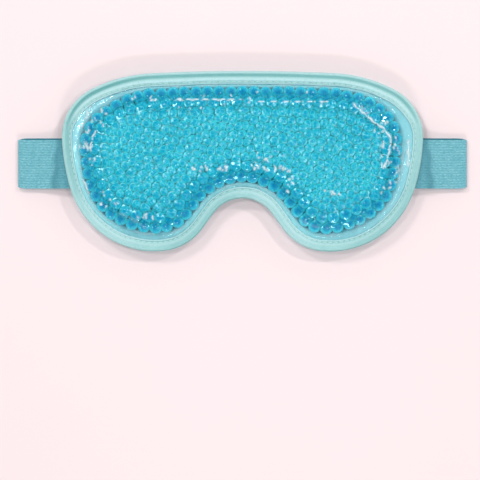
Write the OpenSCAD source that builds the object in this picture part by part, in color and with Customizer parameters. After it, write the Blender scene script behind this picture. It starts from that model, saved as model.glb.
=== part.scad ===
// Gel bead eye pillow: a clear pouch of soft gel beads on a plush back panel, bound round its edge,
// with a two-part elastic head strap that folds behind the mask and closes with hook and loop tape.
// It lies bead side up. X runs across the face, +Y is the forehead side and Z = 0 is the table.

/* [Mask] */
// Width of the mask across its bound edge
mask_w = 200; // [180:1:220]
// Thickness of the clear film of the pouch
film_t = 0.35; // [0.3:0.05:0.5]
// Thickness of the plush back panel
plush_t = 1.2; // [0.8:0.1:1.4]
// Diameter of one gel bead
bead_d = 6.3; // [5.5:0.1:6.4]
// Clear gap between neighbouring beads
bead_gap = 0.3; // [0.2:0.05:0.6]

/* [Binding] */
// Width of the binding tape's front leg
front_leg = 6.4; // [5:0.1:7]
// Width of the binding tape's back leg
back_leg = 5.4; // [4.5:0.1:6]
// Thickness of the binding tape
tape_t = 0.6; // [0.4:0.1:0.8]
// Diameter of the sewing thread
thread_d = 0.4; // [0.3:0.05:0.5]
// Length from one stitch to the next
stitch_pitch = 3.4; // [3:0.1:5]

/* [Strap] */
// Width of the elastic strap
strap_w = 27.5; // [20:0.5:30]
// Thickness of the elastic strap
strap_t = 1.1; // [0.9:0.05:1.3]
// How far each fold of the strap stands out past the mask's edge
strap_reach = 25; // [20:1:35]
// Inner radius of the strap's fold
fold_r = 0.9; // [0.8:0.05:1.2]
// Length of the hook tape
hook_len = 50; // [40:1:55]
// Length of the loop tape
loop_len = 58; // [50:1:60]

/* [Hidden] */

FILM = [0.80, 0.94, 0.97, 0.35];
BEAD = [0.08, 0.68, 0.82, 0.85];
PLUSH = [0.34, 0.78, 0.87];
BINDING = [0.70, 0.89, 0.87];
ELASTIC = [0.42, 0.74, 0.79];
THREAD = [0.78, 0.93, 0.91];
TAPE = [0.38, 0.68, 0.74];

// The right half of the mask's outline, clockwise from the middle of the brow: [radius, sweep] of
// each arc, for the brow, temple, upper corner, side, cheek and lobe. A straight flank then runs
// up to the nose arc. Each arc leaves the one before it at a tangent.
ARCS = [[1000, 2.9], [82, 24], [30, 66], [115, 13.5], [48.8, 79.5], [30, 48]];
NOSE_R = 19.7;
STEP_DEG = 6;

function total(v, i = 0) = i < len(v) ? v[i] + total(v, i + 1) : 0;
function heading(n) = total([for (i = [0:1:n - 1]) ARCS[i][1]]);
// Distance that the outline runs sideways until it heads straight down, and down until it heads back
unit_half_w = total([for (i = [0:len(ARCS) - 1])
    ARCS[i][0] * (sin(min(90, heading(i + 1))) - sin(min(90, heading(i))))]);
unit_drop = total([for (i = [0:len(ARCS) - 1])
    ARCS[i][0] * (cos(min(180, heading(i))) - cos(min(180, heading(i + 1))))]);
size_k = mask_w / 2 / unit_half_w;
top_y = size_k * unit_drop / 2;

// Where the outline, moved in by inset, has got to after n arcs: [x, y, heading]
function after(n, inset) = n == 0 ? [0, top_y - inset, 0] :
    let (s = after(n - 1, inset), r = size_k * ARCS[n - 1][0] - inset, h = heading(n))
    [s[0] + r * (sin(h) - sin(s[2])), s[1] + r * (cos(h) - cos(s[2])), h];

// One arc as [centre x, centre y, radius, first heading, last heading]. A hollow arc's radius is negative.
function arc(n, inset) =
    let (s = after(n, inset), r = size_k * ARCS[n][0] - inset)
    [s[0] - r * sin(s[2]), s[1] - r * cos(s[2]), r, s[2], heading(n + 1)];
function nose_arc(inset) =
    let (s = after(len(ARCS), inset), r = size_k * NOSE_R + inset,
         along = (-s[0] - r * sin(s[2])) / cos(s[2]))
    [s[0] + along * cos(s[2]) + r * sin(s[2]), s[1] - along * sin(s[2]) + r * cos(s[2]), -r, s[2], 180];
function all_arcs(inset) = concat([for (n = [0:len(ARCS) - 1]) arc(n, inset)], [nose_arc(inset)]);
function on_arc(a, h) = [a[0] + a[2] * sin(h), a[1] + a[2] * cos(h)];

function half_outline(inset) = concat([[0, top_y - inset]],
    [for (n = [0:len(ARCS)])
        let (a = all_arcs(inset)[n], count = max(2, ceil(abs(a[4] - a[3]) / STEP_DEG)))
        for (j = [n == len(ARCS) ? 0 : 1:count]) on_arc(a, a[3] + (a[4] - a[3]) * j / count)]);
function outline(inset) =
    let (half = half_outline(inset), last = len(half) - 1)
    concat(half, [for (i = [last - 1:-1:1]) [-half[i][0], half[i][1]]]);

// Layers that touch are drawn this far apart
slack = 0.1;

// Heights of the straps and their tapes, from the table up. The left strap lies lowest, its hook
// tape faces up and grips the loop tape on the underside of the right strap.
hook_t = 1.0;
loop_t = 0.9;
grip_gap = 0.3;
hook_z = strap_t + hook_t / 2;
loop_z = strap_t + hook_t + grip_gap + loop_t / 2;
right_mid = loop_z + loop_t / 2 + strap_t / 2;

// Heights of the mask's layers at its seam
back_z = right_mid + strap_t / 2 + slack + thread_d + 0.3;
seam_z = back_z + 4.7;
film_edge = tape_t + 0.3;
film_top_z = seam_z + slack / 2 + film_t;
film_low_z = seam_z - slack / 2 - film_t;
plush_low_z = film_low_z - slack - plush_t;
binding_top = film_top_z + slack + tape_t;
binding_low = plush_low_z - slack - tape_t;

// The beads lie in two layers, the upper ones in the hollows of the lower ones
pitch = bead_d + bead_gap;
row_rise = pitch * sqrt(3) / 2;
layer_rise = pitch * sqrt(2 / 3);
floor_z = back_z + plush_t + slack + film_t;
lower_z = floor_z + slack + bead_d / 2;
upper_z = lower_z + layer_rise;
dome_z = upper_z + bead_d / 2 + slack + film_t;

// Insets at which the front dome, the back cup and the plush cup start and grow flat
dome_foot = 7.6;
dome_flat = 18;
cup_foot = 8;
cup_flat = 15;
CURVE_STEPS = 5;
SQUARENESS = 2.2;

// Quarter of a superellipse from [foot, z0] to [flat, z1]
function swell(foot, flat, z0, z1) = [for (i = [0:CURVE_STEPS])
    let (a = 90 * i / CURVE_STEPS, p = 2 / SQUARENESS)
    [flat - (flat - foot) * pow(cos(a), p), z0 + (z1 - z0) * pow(sin(a), p)]];
function reversed(v) = [for (i = [len(v) - 1:-1:0]) v[i]];

// Sweeps a section of [inset, z] points round the outline. An open section is capped at both ends.
module swept(section, closed) {
    rings = [for (s = section) [for (p = outline(s[0])) [p[0], p[1], s[1]]]];
    count = len(rings[0]);
    joins = closed ? len(section) : len(section) - 1;
    sides = [for (i = [0:joins - 1]) for (j = [0:count - 1])
        let (k = (i + 1) % len(section), m = (j + 1) % count)
        [i * count + j, i * count + m, k * count + m, k * count + j]];
    caps = closed ? [] : [[for (j = [count - 1:-1:0]) j],
                          [for (j = [0:count - 1]) (len(section) - 1) * count + j]];
    polyhedron([for (r = rings) each r], concat(sides, caps), convexity = 6);
}

module front_film() {
    outer = swell(dome_foot, dome_flat, film_top_z, dome_z);
    inner = swell(dome_foot + film_t, dome_flat, film_top_z - film_t, dome_z - film_t);
    color(FILM) swept(concat(reversed(outer), [[film_edge, film_top_z], [film_edge, film_top_z - film_t]],
                             inner), false);
}

module back_film() {
    inner = swell(cup_foot + film_t, cup_flat, film_low_z + film_t, floor_z);
    outer = swell(cup_foot, cup_flat, film_low_z, floor_z - film_t);
    color(FILM) swept(concat(reversed(inner), [[film_edge, film_low_z + film_t], [film_edge, film_low_z]],
                             outer), false);
}

module plush_panel() {
    gap = 0.3;
    inner = swell(cup_foot - gap, cup_flat - gap, film_low_z - slack, back_z + plush_t);
    outer = swell(cup_foot - gap - plush_t, cup_flat - gap - plush_t, plush_low_z, back_z);
    color(PLUSH) swept(concat(reversed(inner), [[film_edge, film_low_z - slack], [film_edge, plush_low_z]],
                              outer), false);
}

// Folded tape round the edge: a front leg, a rolled outer edge and a back leg
module binding_tape() {
    top_in = film_top_z + slack;
    low_in = plush_low_z - slack;
    roll = 1.3;
    color(BINDING) swept([
        [front_leg, top_in], [front_leg, binding_top - 0.1], [front_leg - 0.4, binding_top],
        [roll, binding_top], [roll * 0.4, binding_top - roll * 0.35], [0, binding_top - roll],
        [0, binding_low + roll], [roll * 0.4, binding_low + roll * 0.35], [roll, binding_low],
        [back_leg - 0.4, binding_low], [back_leg, binding_low + 0.1], [back_leg, low_in],
        [film_edge - 0.2, low_in], [film_edge - 0.2, top_in]], true);
}

// One stitch along X, and how far the middle of its thread stands off the face it is sewn to
stitch_len = stitch_pitch * 0.78;
stitch_off = slack + thread_d / 2;
module stitch() {
    rotate([0, 90, 0]) cylinder(d = thread_d, h = stitch_len, center = true, $fn = 16);
}

// A seam that runs round the outline at an inset
module seam(inset, z) {
    for (side = [0, 1]) mirror([side, 0, 0]) {
        for (a = all_arcs(inset)) {
            run = abs(a[2] * (a[4] - a[3])) * PI / 180;
            count = max(1, round(run / stitch_pitch));
            for (j = [0:count - 1]) {
                h = a[3] + (a[4] - a[3]) * (j + 0.5) / count;
                p = on_arc(a, h);
                translate([p[0], p[1], z]) rotate([0, 0, -h]) stitch();
            }
        }
        from = after(len(ARCS), inset);
        nose = nose_arc(inset);
        to = on_arc(nose, nose[3]);
        run = norm([to[0] - from[0], to[1] - from[1]]);
        count = round(run / stitch_pitch);
        for (j = [0:count - 1]) {
            share = (j + 0.5) / count;
            translate([from[0] + (to[0] - from[0]) * share, from[1] + (to[1] - from[1]) * share, z])
                rotate([0, 0, -from[2]]) stitch();
        }
    }
}

module binding_stitches_front() {
    color(THREAD) seam(front_leg - 1.3, binding_top + stitch_off);
}

strap_y = -1;
strap_low = strap_y - strap_w / 2;
strap_high = strap_y + strap_w / 2;
// The back seam is covered where the strap's root lies over the binding
module binding_stitches_back() {
    z = binding_low - stitch_off;
    color(THREAD) difference() {
        seam(back_leg - 1.2, z);
        translate([-mask_w, strap_low - 1, z - thread_d]) cube([2 * mask_w, strap_w + 2, 2 * thread_d]);
    }
}

function crossings(p, line) = len([for (i = [0:len(line) - 1])
    let (a = line[i], b = line[(i + 1) % len(line)])
    if ((a[1] > p[1]) != (b[1] > p[1])
        && p[0] < a[0] + (b[0] - a[0]) * (p[1] - a[1]) / (b[1] - a[1])) 1]);
function inside(p, line) = crossings(p, line) % 2 == 1;

lower_room = outline(cup_foot + bead_d / 2 + 1.5);
upper_room = outline(dome_foot + bead_d / 2 + 6.1);
rows = ceil(top_y / row_rise);
columns = ceil(mask_w / 2 / pitch);
module beads(side) {
    for (row = [-rows:rows]) for (col = [0:columns]) {
        x = pitch * (col + 0.5 + 0.5 * abs(row % 2));
        y = row_rise * row;
        high_y = y + row_rise / 3;
        high_x = x + pitch / 2;
        if (inside([x, y], lower_room)) translate([side * x, y, lower_z]) sphere(d = bead_d, $fn = 24);
        if (inside([high_x, high_y], upper_room))
            translate([side * high_x, high_y, upper_z]) sphere(d = bead_d, $fn = 24);
    }
}
module gel_beads_left() { color(BEAD) beads(-1); }
module gel_beads_right() { color(BEAD) beads(1); }

// A strip of the strap's width that follows a path of [x, z] points, mid thickness. It is drawn on
// the right-hand side, and side = -1 mirrors it.
function unit(v) = v / norm(v);
function turn(v) = [-v[1], v[0]];
function edge(path, off) = [for (i = [0:len(path) - 1])
    let (a = unit(path[max(i, 1)] - path[max(i, 1) - 1]),
         b = unit(path[min(i + 1, len(path) - 1)] - path[min(i + 1, len(path) - 1) - 1]),
         m = unit(turn(a) + turn(b)))
    path[i] + m * off / (m * turn(a))];
module strip(path, thick, wide) {
    translate([0, strap_y + wide / 2, 0]) rotate([90, 0, 0]) linear_extrude(wide)
        polygon(concat(edge(path, thick / 2), reversed(edge(path, -thick / 2))));
}

// The fold's centre, and the mid heights of the strap above and below it
fold_out = fold_r + strap_t;
fold_x = mask_w / 2 + strap_reach - fold_out;
fold_z = fold_out;
upper_mid = fold_z + fold_r + strap_t / 2;
lower_mid = strap_t / 2;
root_z = binding_low - slack - strap_t / 2;
root_end = back_leg - 0.6;

module strap_root(side) {
    color(ELASTIC) mirror([side < 0 ? 1 : 0, 0, 0]) difference() {
        strip([[mask_w / 2 - 14, root_z], [mask_w / 2 + 0.5, root_z], [mask_w / 2 + 12, upper_mid + 0.8],
               [fold_x - 6, upper_mid], [fold_x, upper_mid]], strap_t, strap_w);
        translate([0, 0, root_z - 5]) linear_extrude(10) polygon(outline(root_end));
    }
}

module strap_fold(side) {
    color(ELASTIC) mirror([side < 0 ? 1 : 0, 0, 0])
        translate([fold_x, strap_high, fold_z]) rotate([90, 0, 0]) rotate([0, 0, -90])
            rotate_extrude(angle = 180, $fn = 64) translate([fold_r, 0]) square([strap_t, strap_w]);
}

// How far out the mask's side is at height y
function side_x(y, inset) =
    let (half = half_outline(inset))
    [for (i = [0:len(half) - 2]) let (a = half[i], b = half[i + 1])
        if (a[1] >= y && b[1] < y) a[0] + (b[0] - a[0]) * (y - a[1]) / (b[1] - a[1])][0];

// Two rows of stitches hold each root to the binding
module root_stitches(side) {
    color(THREAD) mirror([side < 0 ? 1 : 0, 0, 0])
        for (inset = [1.4, 3.6]) for (y = [strap_low + 2:stitch_pitch:strap_high - 2])
            translate([side_x(y, inset), y, root_z - strap_t / 2 - stitch_off]) rotate([0, 0, 90]) stitch();
}

module left_strap_root() { strap_root(-1); }
module left_strap_fold() { strap_fold(-1); }
module left_root_stitches() { root_stitches(-1); }
module right_strap_root() { strap_root(1); }
module right_strap_fold() { strap_fold(1); }
module right_root_stitches() { root_stitches(1); }

// Where along X the left strap ends, where its hook tape starts, and the line at which the free
// part of the hook tape peels down. The loop tape starts near the right strap's end.
left_end = 13;
hook_start = 1;
peel_x = 14.5;
right_end = 15;
loop_start = right_end + 0.5;

module left_strap_run() {
    color(ELASTIC) strip([[-fold_x, lower_mid], [left_end, lower_mid]], strap_t, strap_w);
}

module right_strap_run() {
    color(ELASTIC) strip([[fold_x, lower_mid], [fold_x - 8, lower_mid],
                          [right_end + loop_len + 4, right_mid], [right_end, right_mid]], strap_t, strap_w);
}

tape_w = strap_w - 1;
module hook_tape_sewn_end() {
    color(TAPE) strip([[hook_start, hook_z], [peel_x - 0.1, hook_z]], hook_t, tape_w);
}
module hook_tape_tab() {
    color(TAPE) difference() {
        strip([[peel_x, hook_z], [hook_start + hook_len, hook_z]], hook_t, tape_w);
        // The tab's corners are rounded off
        for (side = [-1, 1]) translate([hook_start + hook_len - 4, strap_y + side * (tape_w / 2 - 4), 0])
            difference() {
                translate([0, side < 0 ? -5 : 0, 0]) cube([5, 5, 5]);
                translate([0, 0, -1]) cylinder(r = 4, h = 7, $fn = 48);
            }
    }
}
module loop_tape() {
    color(TAPE) strip([[loop_start, loop_z], [loop_start + loop_len, loop_z]], loop_t, tape_w);
}

// Rows of stitches along two or four sides of a tape end, seen on the strap's far face
module box_stitches(x0, x1, z) {
    y0 = strap_low + 2.2;
    y1 = strap_high - 2.2;
    across = round((y1 - y0) / stitch_pitch);
    along = round((x1 - x0) / stitch_pitch);
    for (x = [x0, x1]) for (j = [0:across - 1])
        translate([x, y0 + (y1 - y0) * (j + 0.5) / across, z]) rotate([0, 0, 90]) stitch();
    for (y = [y0, y1]) for (j = [0:along - 1])
        translate([x0 + (x1 - x0) * (j + 0.5) / along, y, z]) stitch();
}

module hook_tape_stitches() {
    color(THREAD) box_stitches(hook_start + 1.6, left_end - 1.6, hook_z + hook_t / 2 + stitch_off);
}
module loop_tape_stitches() {
    color(THREAD) box_stitches(right_end + 2.2, right_end + loop_len - 1.4,
                               right_mid + strap_t / 2 + stitch_off);
}

front_film();
back_film();
plush_panel();
binding_tape();
binding_stitches_front();
binding_stitches_back();
gel_beads_left();
gel_beads_right();
left_strap_root();
left_strap_fold();
left_strap_run();
left_root_stitches();
right_strap_root();
right_strap_fold();
right_strap_run();
right_root_stitches();
hook_tape_sewn_end();
hook_tape_tab();
hook_tape_stitches();
loop_tape();
loop_tape_stitches();
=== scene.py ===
"""Looks of the gel bead eye pillow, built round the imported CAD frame.

Lengths are in millimetres, in the CAD frame, and become metres when a mesh is made. The mask lies bead side
up with its strap folded behind it. What repeats is placed along the mask's outline, which is the CAD model's.
"""

import math

import bpy
import bmesh
import numpy as np
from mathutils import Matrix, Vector
from mathutils.geometry import delaunay_2d_cdt


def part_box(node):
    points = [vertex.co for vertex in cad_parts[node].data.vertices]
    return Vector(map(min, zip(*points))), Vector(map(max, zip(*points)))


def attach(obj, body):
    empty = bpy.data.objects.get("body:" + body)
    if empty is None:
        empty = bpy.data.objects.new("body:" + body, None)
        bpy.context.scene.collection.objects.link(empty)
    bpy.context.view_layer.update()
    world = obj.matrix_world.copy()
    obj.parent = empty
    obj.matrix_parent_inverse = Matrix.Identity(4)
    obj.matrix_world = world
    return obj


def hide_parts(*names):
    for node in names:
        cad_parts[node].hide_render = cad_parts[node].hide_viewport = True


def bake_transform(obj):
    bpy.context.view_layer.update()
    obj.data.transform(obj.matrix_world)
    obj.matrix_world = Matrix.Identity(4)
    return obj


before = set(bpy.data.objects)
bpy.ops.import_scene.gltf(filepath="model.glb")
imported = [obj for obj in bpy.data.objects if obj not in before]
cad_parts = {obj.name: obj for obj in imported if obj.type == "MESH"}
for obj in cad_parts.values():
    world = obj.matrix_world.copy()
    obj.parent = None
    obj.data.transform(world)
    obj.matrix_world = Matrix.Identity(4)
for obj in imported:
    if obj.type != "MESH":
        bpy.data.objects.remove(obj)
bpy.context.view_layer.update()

MM = 0.001
TAU = 2 * math.pi


def low(node):
    """A node's lowest corner at rest, in millimetres."""
    return np.array(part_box(node)[0]) / MM


def high(node):
    """A node's highest corner at rest, in millimetres."""
    return np.array(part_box(node)[1]) / MM


# Thicknesses of film and tape, then heights of the mask's layers and the strap's plies, read from the frame
FILM_T = 0.35
TAPE_T = 0.6
ELASTIC_T = high("left_strap_run")[2]
FLANGE_Z = low("front_film")[2] + FILM_T
DOME_Z = high("front_film")[2]
BACK_FLANGE_Z = high("back_film")[2]
CUP_Z = low("back_film")[2] + FILM_T
PLUSH_Z = low("plush_panel")[2]
PLUSH_T = low("back_film")[2] - PLUSH_Z - 0.1
PLUSH_RIM_Z = high("plush_panel")[2]
BIND_TOP = high("binding_tape")[2]
BIND_LOW = low("binding_tape")[2]
HALF_W = high("binding_tape")[0]
STRAP_W = high("left_strap_run")[1] - low("left_strap_run")[1]
STRAP_Y = (high("left_strap_run")[1] + low("left_strap_run")[1]) / 2

# The outline's right half, clockwise from the middle of the brow, as arcs of [radius, sweep in degrees]. Then
# come a straight flank and the hollow nose arc. Each piece leaves the one before it at a tangent.
ARCS = [(1000, 2.9), (82, 24), (30, 66), (115, 13.5), (48.8, 79.5), (30, 48)]
NOSE_R = 19.7
OUTLINE_STEP = 0.5


def along_arc(start, heading, radius, run):
    """The point and heading after a run along an arc. A hollow arc's radius is negative."""
    turned = heading + run / radius
    return start + radius * np.array([math.sin(turned) - math.sin(heading),
                                      math.cos(turned) - math.cos(heading)]), turned


def half_outline():
    """The right half as [start, heading, radius or None, length] pieces."""
    spot, heading, pieces = np.zeros(2), 0.0, []
    widest = lowest = 0.0
    for radius, sweep in ARCS:
        run = radius * math.radians(sweep)
        pieces.append([spot, heading, radius, run])
        for share in np.linspace(0, 1, 200):
            at = along_arc(spot, heading, radius, run * share)[0]
            widest, lowest = max(widest, at[0]), min(lowest, at[1])
        spot, heading = along_arc(spot, heading, radius, run)
    flank = (-spot[0] - NOSE_R * math.sin(heading)) / math.cos(heading)
    pieces.append([spot, heading, None, flank])
    spot = spot + flank * np.array([math.cos(heading), -math.sin(heading)])
    pieces.append([spot, heading, -NOSE_R, NOSE_R * (heading - math.pi)])
    k = HALF_W / widest
    middle = np.array([0, -lowest / 2])
    return [[(p + middle) * k, h, r and r * k, run * k] for p, h, r, run in pieces]


HALF = half_outline()
HALF_LENGTH = sum(piece[3] for piece in HALF)
LENGTH = 2 * HALF_LENGTH


def outline_at(run):
    """Point and outward normal at a distance along the outline, clockwise from the middle of the brow."""
    run = run % LENGTH
    side = 1 if run <= HALF_LENGTH else -1
    left = run if side > 0 else LENGTH - run
    for start, heading, radius, length in HALF:
        if left <= length + 1e-9:
            break
        left -= length
    if radius is None:
        spot = start + left * np.array([math.cos(heading), -math.sin(heading)])
    else:
        spot, heading = along_arc(start, heading, radius, left)
    return spot * [side, 1], np.array([math.sin(heading) * side, math.cos(heading)])


def outline_samples(count):
    """Runs, points and outward normals at even steps along the outline."""
    runs = np.arange(count) * LENGTH / count
    pairs = [outline_at(r) for r in runs]
    return runs, np.array([p for p, _ in pairs]), np.array([n for _, n in pairs])


EDGE_RUN, EDGE_P, EDGE_N = outline_samples(round(LENGTH / OUTLINE_STEP))


def edge_distance(points, chunk=3000):
    """How far inside the outline each point is, and the outward normal and run of the outline next to it."""
    inset, nearest = np.empty(len(points)), np.empty(len(points), int)
    for i in range(0, len(points), chunk):
        part = points[i:i + chunk, :2]
        gap = ((part[:, None] - EDGE_P[None]) ** 2).sum(2)
        near = gap.argmin(1)
        nearest[i:i + chunk] = near
        inset[i:i + chunk] = ((EDGE_P[near] - part) * EDGE_N[near]).sum(1)
    return inset, EDGE_N[nearest], EDGE_RUN[nearest]


def smooth01(t):
    """0 below 0, 1 above 1, and a smooth step between."""
    t = np.clip(t, 0, 1)
    return t * t * (3 - 2 * t)


def band(values, middle, width):
    """1 at the middle value, fading to 0 over the width on both sides."""
    return np.exp(-((values - middle) / width) ** 2)


def distances(points):
    """How far along a line of points each of them lies."""
    return np.concatenate([[0], np.cumsum(np.linalg.norm(np.diff(points, axis=0), axis=1))])


def eased(knots, count, rounds):
    """A line through a few [a, b] knots, as many points as asked, with its corners rounded off."""
    knots = np.asarray(knots, float)
    reach = distances(knots)
    want = np.linspace(0, reach[-1], count)
    line = np.column_stack([np.interp(want, reach, knots[:, i]) for i in (0, 1)])
    for _ in range(rounds):
        line[1:-1] = 0.5 * line[1:-1] + 0.25 * (line[:-2] + line[2:])
    return line


def ripple(run, seed, waves=((3, 1.0), (7, 0.7), (13, 0.5), (29, 0.35))):
    """A smooth wander that closes on itself after one lap of the outline, from about -1 to 1."""
    phase = np.random.default_rng(seed).uniform(0, TAU, len(waves))
    total = sum(size * np.sin(TAU * n * run / LENGTH + p) for (n, size), p in zip(waves, phase))
    return total / sum(size for _, size in waves) * 1.6


def swell(inset, foot, flat, z0, z1, squareness=2.2):
    """Height of a quarter superellipse that rises from z0 at foot to z1 at flat."""
    t = np.clip((inset - foot) / (flat - foot), 0, 1)
    return z0 + (z1 - z0) * (1 - (1 - t) ** squareness) ** (1 / squareness)


# ---- Meshes ----
def mesh_object(name, verts, faces, material, mend=True):
    """A smooth mesh object from points in millimetres and an array or a list of faces. mend turns its faces
    outwards."""
    mesh = bpy.data.meshes.new(name)
    verts = np.asarray(verts, float) * MM
    if isinstance(faces, np.ndarray):
        count, corners = faces.shape
        mesh.vertices.add(len(verts))
        mesh.vertices.foreach_set("co", verts.ravel())
        mesh.loops.add(count * corners)
        mesh.loops.foreach_set("vertex_index", faces.astype(np.int32).ravel())
        mesh.polygons.add(count)
        mesh.polygons.foreach_set("loop_start", np.arange(count, dtype=np.int32) * corners)
        mesh.update(calc_edges=True)
    else:
        mesh.from_pydata(verts.tolist(), [], faces)
        mesh.update()
    if mend:
        shape = bmesh.new()
        shape.from_mesh(mesh)
        bmesh.ops.recalc_face_normals(shape, faces=shape.faces)
        shape.to_mesh(mesh)
        shape.free()
    mesh.shade_smooth()
    mesh.materials.append(material)
    made = bpy.data.objects.new(name, mesh)
    bpy.context.scene.collection.objects.link(made)
    return made


def paint(made, name, values):
    """A number for each vertex that the material reads."""
    layer = made.data.attributes.new(name, "FLOAT", "POINT")
    layer.data.foreach_set("value", np.asarray(values, np.float32).ravel())


def grid_faces(rows, columns, wrap_rows=False, wrap_columns=False):
    """The quads of a grid of points, numbered row by row."""
    r = np.arange(rows if wrap_rows else rows - 1)
    c = np.arange(columns if wrap_columns else columns - 1)
    r, c = (a.ravel() for a in np.meshgrid(r, c, indexing="ij"))
    r2, c2 = (r + 1) % rows, (c + 1) % columns
    return np.stack([r * columns + c, r * columns + c2, r2 * columns + c2, r2 * columns + c], 1)


def join_parts(parts):
    """One vertex array and one face array from many of the same kind."""
    verts, faces, base = [], [], 0
    for v, f in parts:
        verts.append(v)
        faces.append(f + base)
        base += len(v)
    return np.concatenate(verts), np.concatenate(faces)


def tube(path, radius, sides):
    """A tube of quads along a path of points, and the caps at its pinched ends."""
    path = np.asarray(path, float)
    along = np.gradient(path, axis=0)
    along /= np.linalg.norm(along, axis=1)[:, None]
    across = np.cross(along, [0, 0, 1.0])
    weak = np.linalg.norm(across, axis=1) < 0.3
    across[weak] = np.cross(along[weak], [0, 1.0, 0])
    across /= np.linalg.norm(across, axis=1)[:, None]
    up = np.cross(across, along)
    turn = np.arange(sides) * TAU / sides
    size = np.full(len(path), radius)
    size[[0, -1]] *= 0.25
    rings = path[:, None] + size[:, None, None] * (np.cos(turn)[None, :, None] * across[:, None]
                                                   + np.sin(turn)[None, :, None] * up[:, None])
    verts = rings.reshape(-1, 3)
    ends = np.array([path[0], path[-1]])
    faces = grid_faces(len(path), sides, wrap_columns=True)
    first, last = len(verts), len(verts) + 1
    j = np.arange(sides)
    k = (j + 1) % sides
    base = (len(path) - 1) * sides
    cap = np.concatenate([np.stack([j, k, np.full(sides, first), np.full(sides, first)], 1),
                          np.stack([base + k, base + j, np.full(sides, last), np.full(sides, last)], 1)])
    return np.concatenate([verts, ends]), faces, cap


def thread_object(name, paths, radius, sides, material):
    """One object of many closed tubes."""
    verts, faces, base = [], [], 0
    for path in paths:
        v, quads, caps = tube(path, radius, sides)
        verts.append(v)
        faces += (quads + base).tolist() + [c[:3] for c in (caps + base).tolist()]
        base += len(v)
    return mesh_object(name, np.concatenate(verts), faces, material)


# ---- Materials ----
def linear(red, green, blue):
    """A colour given in display values of 0 to 255, as the shader wants it."""
    channels = [c / 255 for c in (red, green, blue)]
    return tuple(c / 12.92 if c <= 0.04045 else ((c + 0.055) / 1.055) ** 2.4 for c in channels) + (1.0,)


class Look:
    """A material under construction: its colour so far, and short calls for the nodes that it needs."""

    def __init__(self, name):
        self.material = bpy.data.materials.new(name)
        self.material.use_nodes = True
        self.tree = self.material.node_tree
        self.tree.nodes.clear()
        self.out = self.tree.nodes.new("ShaderNodeOutputMaterial")
        self.colour = None

    def add(self, kind, values=None, **settings):
        """A new node. Values are numbers or sockets for its inputs, and settings are its own properties."""
        made = self.tree.nodes.new("ShaderNode" + kind)
        for key, value in settings.items():
            setattr(made, key, value)
        for key, value in (values or {}).items():
            if isinstance(value, bpy.types.NodeSocket):
                self.tree.links.new(value, made.inputs[key])
            else:
                made.inputs[key].default_value = value
        return made

    def place(self, scale=(1, 1, 1)):
        """Coordinates of the piece itself, in millimetres when scale is 1."""
        spot = self.add("TexCoord").outputs["Object"]
        return self.add("Mapping", {"Vector": spot, "Scale": [s / MM for s in scale]}).outputs[0]

    def noise(self, size, detail=3.0, rough=0.55, stretch=(1, 1, 1)):
        """Noise whose lumps are about size millimetres across."""
        spot = self.place(stretch)
        return self.add("TexNoise", {"Vector": spot, "Scale": 1 / size, "Detail": detail,
                                     "Roughness": rough}).outputs["Fac"]

    def painted(self, name):
        """The number that paint() gave each vertex."""
        return self.add("Attribute", attribute_name=name).outputs["Fac"]

    def maths(self, operation, a, b=0.0, clamp=False):
        return self.add("Math", {0: a, 1: b}, operation=operation, use_clamp=clamp).outputs[0]

    def between(self, value, start, end, to_start=0.0, to_end=1.0):
        """A value mapped from one range onto another, and held at its ends."""
        return self.add("MapRange", {"Value": value, "From Min": start, "From Max": end, "To Min": to_start,
                                     "To Max": to_end}).outputs[0]

    def mottle(self, share, first, second):
        """Starts the colour: the first one where share is 0 and the second one where it is 1."""
        self.colour = linear(*first)
        self.tint(share, *second)

    def tint(self, share, red, green, blue):
        """Turns the colour into another as far as share says."""
        self.colour = self.add("MixRGB", {"Fac": share, "Color1": self.colour,
                                          "Color2": linear(red, green, blue)}).outputs[0]

    def bump(self, height, strength, distance, under=None):
        """Relief of a depth in millimetres, over the relief under it."""
        values = {"Height": height, "Strength": strength, "Distance": distance * MM}
        if under is not None:
            values["Normal"] = under
        return self.add("Bump", values).outputs[0]

    def finish(self, values):
        """A Principled surface of the colour so far, with values for its other inputs."""
        surface = self.add("BsdfPrincipled", {"Base Color": self.colour, **values})
        self.tree.links.new(surface.outputs[0], self.out.inputs["Surface"])
        return self.material


def film_look():
    """Clear vinyl film: what is behind it shows and it mirrors more at a slant. Painted white glints on its
    wrinkles stand in for the light they catch. It is duller in the middle, where the beads press it taut."""
    look = Look("clear_film")
    fine = look.bump(look.noise(6, 3), 0.4, 0.6)
    painted_glint, calm = look.painted("painted_glint"), look.painted("calm")
    gloss = look.add("BsdfGlossy", {"Color": (0.6, 0.92, 1, 1), "Normal": fine,
                                    "Roughness": look.between(calm, 0, 1, 0.075, 0.2)})
    clear = look.add("BsdfTransparent", {"Color": (0.985, 0.997, 1, 1)})
    slant = look.add("LayerWeight", {"Blend": 0.5, "Normal": fine}).outputs["Facing"]
    least = look.between(calm, 0, 1, 0.026, 0.014)
    mirror = look.between(look.maths("POWER", slant, 3.0), 0, 1, least, 0.28)
    film = look.add("MixShader", {0: mirror, 1: clear.outputs[0], 2: gloss.outputs[0]})
    # Painted highlight: a matte white layer is mixed in wherever the wrinkles' glints are painted
    scatter = look.add("BsdfDiffuse", {"Color": (0.84, 0.98, 1, 1), "Normal": fine})
    share = look.maths("MULTIPLY", painted_glint, 0.75, clamp=True)
    both = look.add("MixShader", {0: share, 1: film.outputs[0], 2: scatter.outputs[0]})
    look.tree.links.new(both.outputs[0], look.out.inputs["Surface"])
    return look.material


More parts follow.
